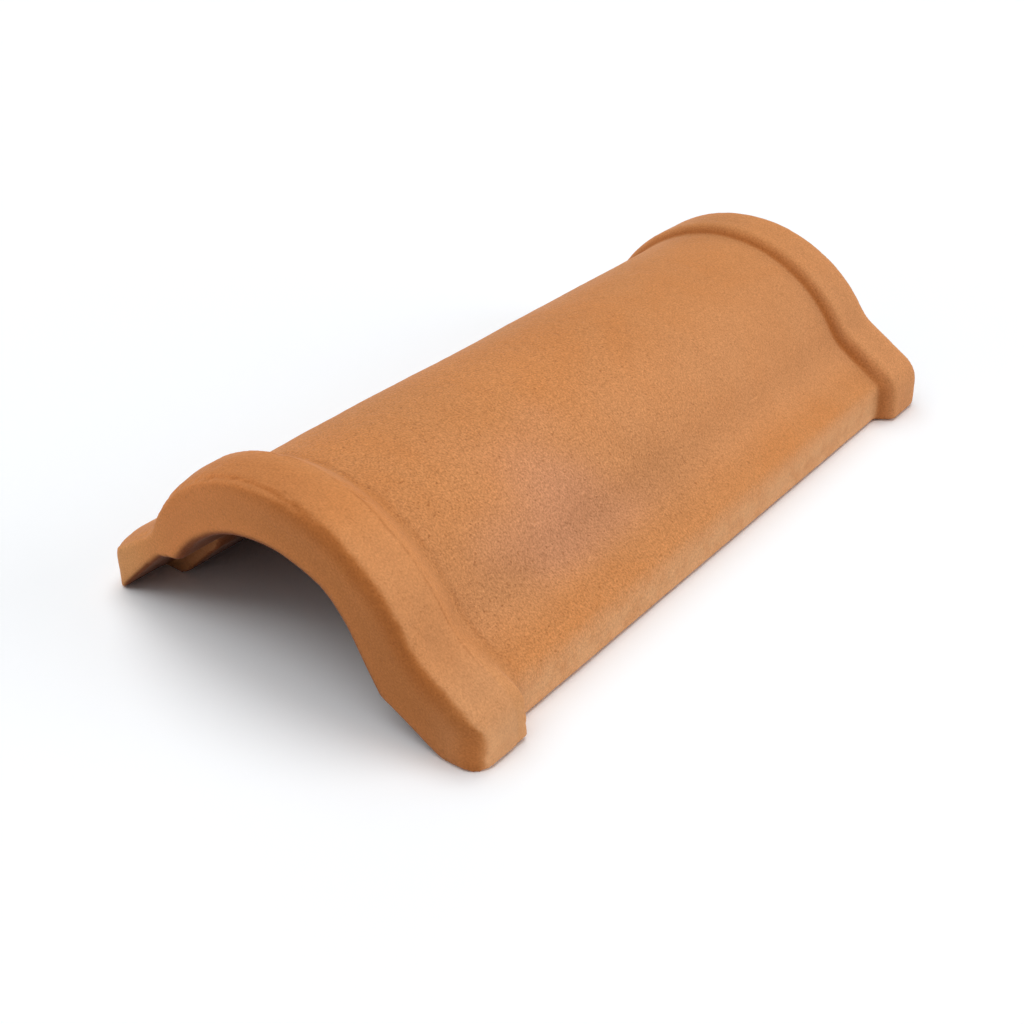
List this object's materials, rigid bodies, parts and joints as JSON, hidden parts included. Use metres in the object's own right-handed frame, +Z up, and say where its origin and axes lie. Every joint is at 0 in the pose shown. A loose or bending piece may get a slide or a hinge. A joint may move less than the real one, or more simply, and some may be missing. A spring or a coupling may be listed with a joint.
{
  "type": "clay ridge tile",
  "caption": "Arched ridge tile of unglazed fired clay, with a sloping flange along each side and a raised collar round each end, for capping the ridge of a pitched roof.",
  "frame": {"origin": "on the floor under the middle of the tile", "axes": "+X across the tile, +Y along it from the front collar to the back one, +Z up"},
  "size_m": [0.2114, 0.38, 0.089],
  "materials": {
    "fired_clay": "unglazed, matt, fine sandy grain"
  },
  "bodies": {
    "root": {"ridge_tile": "fired_clay"}
  },
  "joints": []
}
